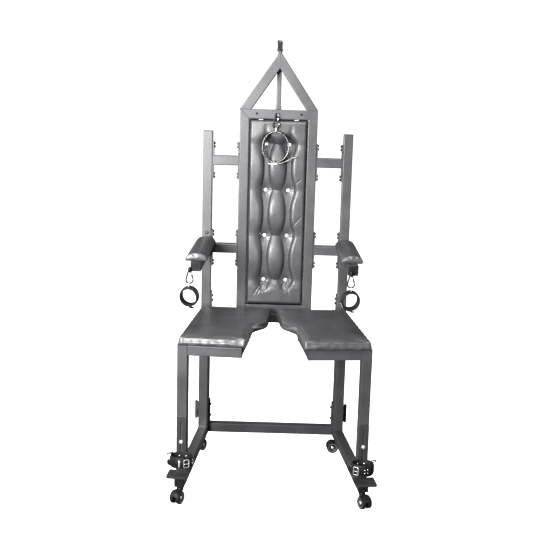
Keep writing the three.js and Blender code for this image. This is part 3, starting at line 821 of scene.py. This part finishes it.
def wrist_cuffs():
    """The wrist cuffs hang a little turned."""
    for side, way in SIDES.items():
        node = f"wrist_cuff_{side}"
        parts, centre = hung_cuff(node, 74, 19, 34, 9, 7)
        wear(node, parts, f"wrist_{side}", ROOT, centre @ rotation(8 * way, "Z") @ rotation(6, "X"))


def collar():
    """The collar has piped edges, a long piped strap end and a bar of stones."""
    tall = 130
    bottom = -tall / 2
    parts, centre = hung_cuff("collar", tall, 16, 10, 0, 8, piping=True)
    tail = smooth_path([(-6, -1, bottom - 3), (14, -2, bottom - 4), (40, -5, bottom + 5),
                        (66, -7, bottom + 17), (88, -8, bottom + 27)], 6)
    parts["strap"] += sweep(tail, rounded(2.0, 16, 0.9, 2), up=(0, 1, 0))
    for y in (-8, 8):
        parts["piping"] += wire([p + Vector((0, y, 0)) for p in tail], 0.9, sides=8)
    parts["crystal"] = prism(rounded(38, 4, 1.9, 3), 12, 13.6).at(-10, 0, bottom - 4.5, rx=90)
    wear("collar", parts, "collar", ROOT, centre)


def ankle_cuffs():
    """The cuffs stand on the foot plates. Angles run from the right round the front to the left."""
    buckles = {"left": (54, 108), "right": (132, 52)}
    for side, way in SIDES.items():
        node = f"ankle_cuff_{side}"
        low, high = drawn_box(node, HALF[side])
        start, tail = buckles[side]
        wide, long, deep = high.x - low.x, high.y - low.y, high.z - low.z
        rx, rz = cuff_radii(wide, long)
        parts = cuff(wide, long, deep, 25, start, tail, 9)
        for angle in (250, 290):
            parts["chrome"] += on_band(dome(3, 1.6).at(rx=180), rx, rz, -0.2, angle, 6)
        parts["chrome"] += band(rx, rz, 8.6, 1.6, 26, start + 34, start + 41)
        ring = wire(arc(0, 0, 12, 8, 0, 345, 23, 6), 2, closed=True)
        parts["tyre"] = ring.at(way * (wide / 2 + 3), deep / 2 - 10, -long / 4, rz=16)
        centre = over_box(low, high, (low.z + high.z) / 2)
        upright = centre @ Matrix.Scale(way, 4, (1, 0, 0)) @ rotation(90, "X")
        wear(node, parts, f"footrest_{side}", HALF[side], upright)


# ---- hooks, eyes and plugs -------------------------------
def carabiners():
    """A pear of wire drawn from its top, with a sprung gate on one flank."""
    top, wide, drop, gauge = 6.3, 13.3, 28, 2.7
    flare = math.degrees(math.asin((wide - top) / drop))
    pear = [*arc(0, -top, top, top, flare, 180 - flare, 12),
            *arc(0, -top - drop, wide, wide, 180 - flare, 360 + flare, 24)]
    upper, lower = (Vector(pear[0]), Vector(pear[-1]))
    along = lower - upper

    def rod(stops, thicker):
        """A thicker wire along the straight flank."""
        return wire([upper + along * t for t in stops], gauge + thicker, sides=12)

    gate = rod((0.12, 0.5, 0.96), 0.25)
    barrels = rod((0.06, 0.3), 0.55) + rod((0.9, 0.99), 0.45)
    pin = lathe([(0, -3.1), (1.2, -3.1), (1.4, -2.8), (1.4, 2.8), (1.2, 3.1), (0, 3.1)], 12)
    pin = pin.at(rx=90).by(Matrix.Translation(upper + along * 0.93))
    for node, body in (("wrist_left_carabiner", "wrist_hook_left"), ("collar_carabiner", "collar_hook"),
                       ("wrist_right_carabiner", "wrist_hook_right")):
        low, high = box_mm(node)
        hung = over_box(low, high, high.z - gauge)
        loop = wire(pear, gauge, closed=True, sides=14)
        finish = "steel" if body == "collar_hook" else "dark"
        piece(f"{node}_loop", loop.by(hung), finish, body, replaces=[node])
        piece(f"{node}_gate", gate.by(hung), finish, body)
        piece(f"{node}_fittings", (barrels + pin).by(hung), "chrome", body)


def arm_plugs():
    """Plugs in the arm tubes' front ends, each with its eye bolt."""
    eyes, eye_z = {"left": -323, "right": 293}, 889
    border = prism(rounded(39.6, 39.6, 4, 4), 0, 3)
    raised = sweep([(x, y, 3) for x, y in rounded(34, 34, 5, 4)], circle(2, 8), True)
    dished = prism(rounded(27, 27, 2, 2), 0, 3.8)
    for step in (-9, -4.5, 0, 4.5, 9):
        dished += prism([(step - 1, -11), (step + 1, -11), (step + 1, 11), (step - 1, 11)], 3, 4.8)
    washer = lathe([(0, 0), (8, 0), (8, 1), (7.7, 1.3), (0, 1.3)], 24)
    for side, way in SIDES.items():
        node = f"arm_eye_{side}"
        back = box_mm(node)[1].y
        face = back - 5
        place = Matrix.Translation((way * 301, back, ARM_RAIL)) @ rotation(90, "X")
        piece(f"arm_plug_{side}", (border + raised).by(place), "plastic", "root", replaces=[node], bevel=0.3)
        piece(f"arm_plug_dish_{side}", dished.by(place), "dark", "root")
        ring = wire([(eyes[side], face - 9 + y, eye_z + z) for y, z in circle(9, 32)], 2.5,
                    closed=True, sides=14)
        bolt = (small_nut().at(z=1.3) + washer).at(eyes[side], face, eye_z, rx=90)
        piece(f"arm_eye_ring_{side}", ring + bolt, "steel", "root")


def collar_eye_nut():
    piece("collar_eye_nut", small_nut().at(-4, -3.4, 1472, rx=90), "chrome", "root")


def mast_top():
    """A swivelling latch block with its horn and pin on the mast's end."""
    low, high = box_mm("mast_tube")
    ring = prism(rounded(24, 24, 4, 3), 1738, 1746)
    outline = [(-10.5, 1744), (10.5, 1744), (10.5, 1776), (8, 1779), (2, 1775), (-4, 1777),
               (-9, high.z - 0.5), (-12, high.z - 1), (-11.4, 1770)]
    cheeks = plate(outline, -11.6, -10) + plate(outline, 10, 11.6)
    pin = lathe([(0, -12.4), (2.6, -12.4), (3, -12), (3, 12), (2.6, 12.4), (0, 12.4)], 16)
    latch = (cheeks + pin.at(3, 0, 1769, rx=90) + ring).by(over_box(low, high, 0))
    piece("mast_latch", latch, "dark", "mast", bevel=0.7)


# ---- castors ---------------------------------------------
TRAIL, AXLE = 22, 25  # how far the wheel's middle lies behind the swivel and above the floor
HOOD_HALF = 13.6  # half the hood's width


def castor_hood():
    """A hood with a rim along both edges, a web under it and the boss round the stem."""
    hood = sweep(arc(TRAIL, AXLE, 27.2, 27.2, 20, 165, 24), rounded(2.4, 2 * HOOD_HALF, 1.1, 3), up=(0, 1, 0))
    for y in (-HOOD_HALF + 1.6, HOOD_HALF - 1.6):
        hood += wire(arc(TRAIL, AXLE, 26.8, 26.8, 21, 164, 24, y), 1.5, sides=8)
    sector = [*arc(TRAIL, AXLE, 26.6, 26.6, 22, 163, 20), *arc(TRAIL, AXLE, 9, 9, 180, 360, 14)]
    web = plate([(x, z) for x, _, z in sector], -4.3, 4.3)
    boss = lathe([(0, 45), (12.4, 46), (13.6, 48), (13.6, 54), (12.6, 56.6), (9, 58.4), (8, 60.4), (0, 60.4)])
    return hood + web + boss


def castor_stem():
    stem = lathe([(0, 59.6), (4.4, 59.6), (4.4, 60.6), (7.9, 60.6), (7.9, 61.2), (4.4, 61.2), (4.4, 64.6),
                  (0, 64.6)], 24)
    return stem + lathe([(0, 61.2), (7, 61.2), (7.4, 61.6), (7.4, 64.2), (7, 64.6), (0, 64.6)], 6)


def castor_wheel():
    """A wheel's tyres, its dished sides on their axle, and its bright hubs and rings."""
    tread = [(17, 6), (22.5, 6), (24.4, 7.2), (25, 9.5), (25, 17), (24.4, 19), (22.5, 20.3), (19, 20.4),
             (18.4, 19), (17, 19)]
    dish = [(0, 6.4), (18.3, 6.4), (18.3, 18.8), (16, 18.2), (10.5, 15.4), (9.5, 16.6), (0, 16.6)]
    hub = [(0, 16), (7, 16), (7, 17.8), (5.4, 19.6), (2.8, 20.4), (0, 20.4)]
    ring = [(16.6, 18), (18.2, 18), (18.2, 19.3), (16.6, 19.3)]
    tyres, dishes, hubs = Shape(), Shape(), Shape()
    for turn in (90, -90):
        middle = {"x": TRAIL, "z": AXLE, "rx": turn}
        tyres += lathe(tread, 48, closed=True).at(**middle)
        dishes += lathe(dish, 40).at(**middle)
        hubs += lathe(hub, 28).at(**middle) + lathe(ring, 40, closed=True).at(**middle)
    axle = lathe([(0, -7), (3.8, -7), (3.8, 7), (0, 7)], 20).at(TRAIL, 0, AXLE, rx=90)
    return tyres, dishes + axle, hubs


def castors():
    """The castors, drawn round their swivels and trailing along +x."""
    hood, stem, (tyres, dishes, hubs) = castor_hood(), castor_stem(), castor_wheel()
    for side in SIDES:
        for end in ("front", "rear"):
            which = f"{end}_{side}"
            axis = Vector(joint(f"castor_swivel_{which}")["pos_m"])
            low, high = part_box(f"castor_wheel_{which}")
            behind = (low + high) / 2 - axis
            place = (Matrix.Translation((axis.x, axis.y, 0))
                     @ Matrix.Rotation(math.atan2(behind.y, behind.x), 4, "Z") @ Matrix.Scale(MM, 4))
            fork, wheel = f"castor_{which}", f"wheel_{which}"
            piece(f"castor_hood_{which}", hood, "plastic", fork, place, replaces=[f"castor_fork_{which}"])
            piece(f"castor_stem_{which}", stem, "chrome", fork, place)
            piece(f"castor_tyre_{which}", tyres, "tyre", wheel, place, replaces=[f"castor_wheel_{which}"])
            piece(f"castor_dish_{which}", dishes, "plastic", wheel, place)
            piece(f"castor_hub_{which}", hubs, "chrome", wheel, place)


# ---- small steelwork -------------------------------------
def frame_fittings():
    """Bolts and tabs of the back frame, and the round caps below and above each hinge."""
    bolts, tabs = Shape(), Shape()
    for x in (-93, 95):
        bolts += socket_head(4.4, 2.6).at(x, -0.1, 1478, rx=90)
    piece("top_rail_bolts", bolts, "dark", "root")
    for x in (-75, 75):
        tabs += prism([(x - 11, 30), (x + 11, 30), (x + 11, 0), (x + 8, -2), (x - 8, -2), (x - 11, 0)],
                      1453, 1454.8)
    piece("cushion_tabs", tabs, "chrome", "root", bevel=0.3)
    under = [(0, -2.4), (2.6, -2.2), (4.8, -1.2), (6.2, 0), (6.2, 1), (0, 1)]
    over = [(r, -z) for r, z in reversed(under)]
    hinge_x, hinge_y, hinge_long = 332, -2.5, 80
    feet, tips = Shape(), Shape()
    for bottom in (132, 462):
        feet += lathe(under, 24).at(hinge_x, hinge_y, bottom)
        tips += lathe(over, 24).at(hinge_x, hinge_y, bottom + hinge_long)
    for side in SIDES:
        piece(f"hinge_feet_{side}", feet, "powder", "root", FIXED[side])
        piece(f"hinge_tips_{side}", tips, "powder", f"seat_{side}", HALF[side])


def bead(start, end, size):
    """A weld bead: a wire whose thickness ripples along its run."""
    start, end = Vector(start), Vector(end)
    count = max(4, int((end - start).length / 1.6))
    path = [start.lerp(end, i / count) for i in range(count + 1)]
    sizes = [1 + 0.16 * math.sin(i * 2.2) + 0.1 * math.sin(i * 0.9) for i in range(count + 1)]
    return wire(path, size, sides=8, sizes=sizes)


def weld_beads():
    """Beads along the joints that show on the back frame and the seat halves."""
    beads = Shape()
    for x in (-1, 1):
        for y in (0.2, 39.8):
            beads += bead((x * 164, y, 1496), (x * 124.5, y, 1456.5), 0.9)
        beads += bead((x * 164, 1, 1496.2), (x * 115, 1, 1496.2), 0.9)
        beads += bead((x * 124, 0.4, 618.5), (x * 124, 0.4, 656.5), 1.0)
    beads += bead((0, 0.2, 1734), (0, 0.2, 1668), 0.9)
    piece("back_welds", beads, "powder", "root")
    beads = bead((279, -44.8, 105.2), (315, -44.8, 105.2), 1.1)
    for y in (-25, -544):
        for x in (277.2, 316.8):
            beads += bead((x, y - 18, 105.2), (x, y + 18, 105.2), 1.1)
    beads += bead((277, -563.6, 579), (277, -563.6, 614), 0.9)
    for y in (-289.6, -250.4):
        beads += bead((277, y, 577), (277, y, 615), 1.0)
    for side in SIDES:
        piece(f"seat_welds_{side}", beads, "powder", f"seat_{side}", HALF[side])


# ---- stage, light and camera -----------------------------
SKY = 0.12  # the sky's strength as a light; the camera sees it white


def stage():
    """A bright white floor with a faint contact shadow, under an even sky that lights the chair softly."""
    bpy.ops.mesh.primitive_circle_add(vertices=96, radius=60, fill_type="NGON", location=(0, 0, 0))
    floor = bpy.context.object
    floor.name = "floor"
    white = (1, 1, 1, 1)
    pale = shader("pale_floor", (0.9, 0.9, 0.9), 0.8, Emission_Color=white, Emission_Strength=0.93)[0]
    floor.data.materials.append(pale)
    floor.visible_diffuse = floor.visible_glossy = False
    world = bpy.data.worlds.new("studio")
    world.use_nodes = True
    tree = world.node_tree
    light, seen = tree.nodes["Background"], tree.nodes.new("ShaderNodeBackground")
    for node, strength in ((light, SKY), (seen, 1.0)):
        node.inputs["Color"].default_value = white
        node.inputs["Strength"].default_value = strength
    ray, mix = tree.nodes.new("ShaderNodeLightPath"), tree.nodes.new("ShaderNodeMixShader")
    tree.links.new(ray.outputs["Is Camera Ray"], mix.inputs["Fac"])
    tree.links.new(light.outputs["Background"], mix.inputs[1])
    tree.links.new(seen.outputs["Background"], mix.inputs[2])
    tree.links.new(mix.outputs["Shader"], tree.nodes["World Output"].inputs["Surface"])
    scene = bpy.context.scene
    scene.world = world
    scene.view_settings.view_transform = "Standard"
    scene.view_settings.look = "Medium High Contrast"


def area_light(name, place, target, size, power):
    data = bpy.data.lights.new(name, "AREA")
    data.shape, data.size, data.size_y, data.energy = "RECTANGLE", size[0], size[1], power
    lamp = add(name, data)
    lamp.location = place
    lamp.rotation_euler = (Vector(target) - Vector(place)).to_track_quat("-Z", "Y").to_euler()
    lamp.visible_camera = False


def lights():
    """A softbox left of the camera, a small one by the left post, a weak one on the right, two low ones
    to the sides behind and one above."""
    area_light("front", (-1.25, -2.9, 1.5), (0, 0.28, 1.15), (0.8, 1.2), 205)
    area_light("key", (-1.15, -1.0, 1.6), (-0.2, 0.28, 1.25), (0.6, 0.9), 22)
    area_light("fill", (2.2, -1.6, 1.0), (0, 0, 0.9), (1.2, 1.6), 5)
    area_light("back_left", (-3.2, 2.4, 1.3), (0, 0, 1.0), (1.4, 1.6), 60)
    area_light("back_right", (3.2, 2.4, 1.3), (0, 0, 1.0), (1.4, 1.6), 60)
    area_light("top", (-0.2, -1.1, 3.0), (0, 0, 0.7), (1.4, 1.0), 72)


def camera():
    """The camera stands to the front at head height and tilts down a little, rolled by a degree or so."""
    place = Vector((5.4, -3841.7, 1507.6))
    yaw, pitch, roll = -0.00086, 0.18471, 0.02823
    sensor, zoom = 36, 18 / 11
    ahead = Vector((math.sin(yaw) * math.cos(pitch), math.cos(yaw) * math.cos(pitch), -math.sin(pitch)))
    level = Vector((math.cos(yaw), -math.sin(yaw), 0))
    down = ahead.cross(level)
    across = level * math.cos(roll) - down * math.sin(roll)
    below = level * math.sin(roll) + down * math.cos(roll)
    data = bpy.data.cameras.new("camera")
    data.sensor_width, data.lens = sensor, sensor * zoom
    made = add("camera", data)
    turn = Matrix((across, -below, -ahead)).transposed()
    made.matrix_world = Matrix.Translation(ROOT @ place) @ turn.to_4x4()
    bpy.context.scene.camera = made


# ---- the chair -------------------------------------------
camera()
stage()
lights()
dress_frame()
flange_bolts()
post_caps()
tube_ends()
back_cushion()
seat_pads()
arm_pads()
wrist_cuffs()
collar()
ankle_cuffs()
carabiners()
arm_plugs()
collar_eye_nut()
mast_top()
castors()
frame_fittings()
weld_beads()
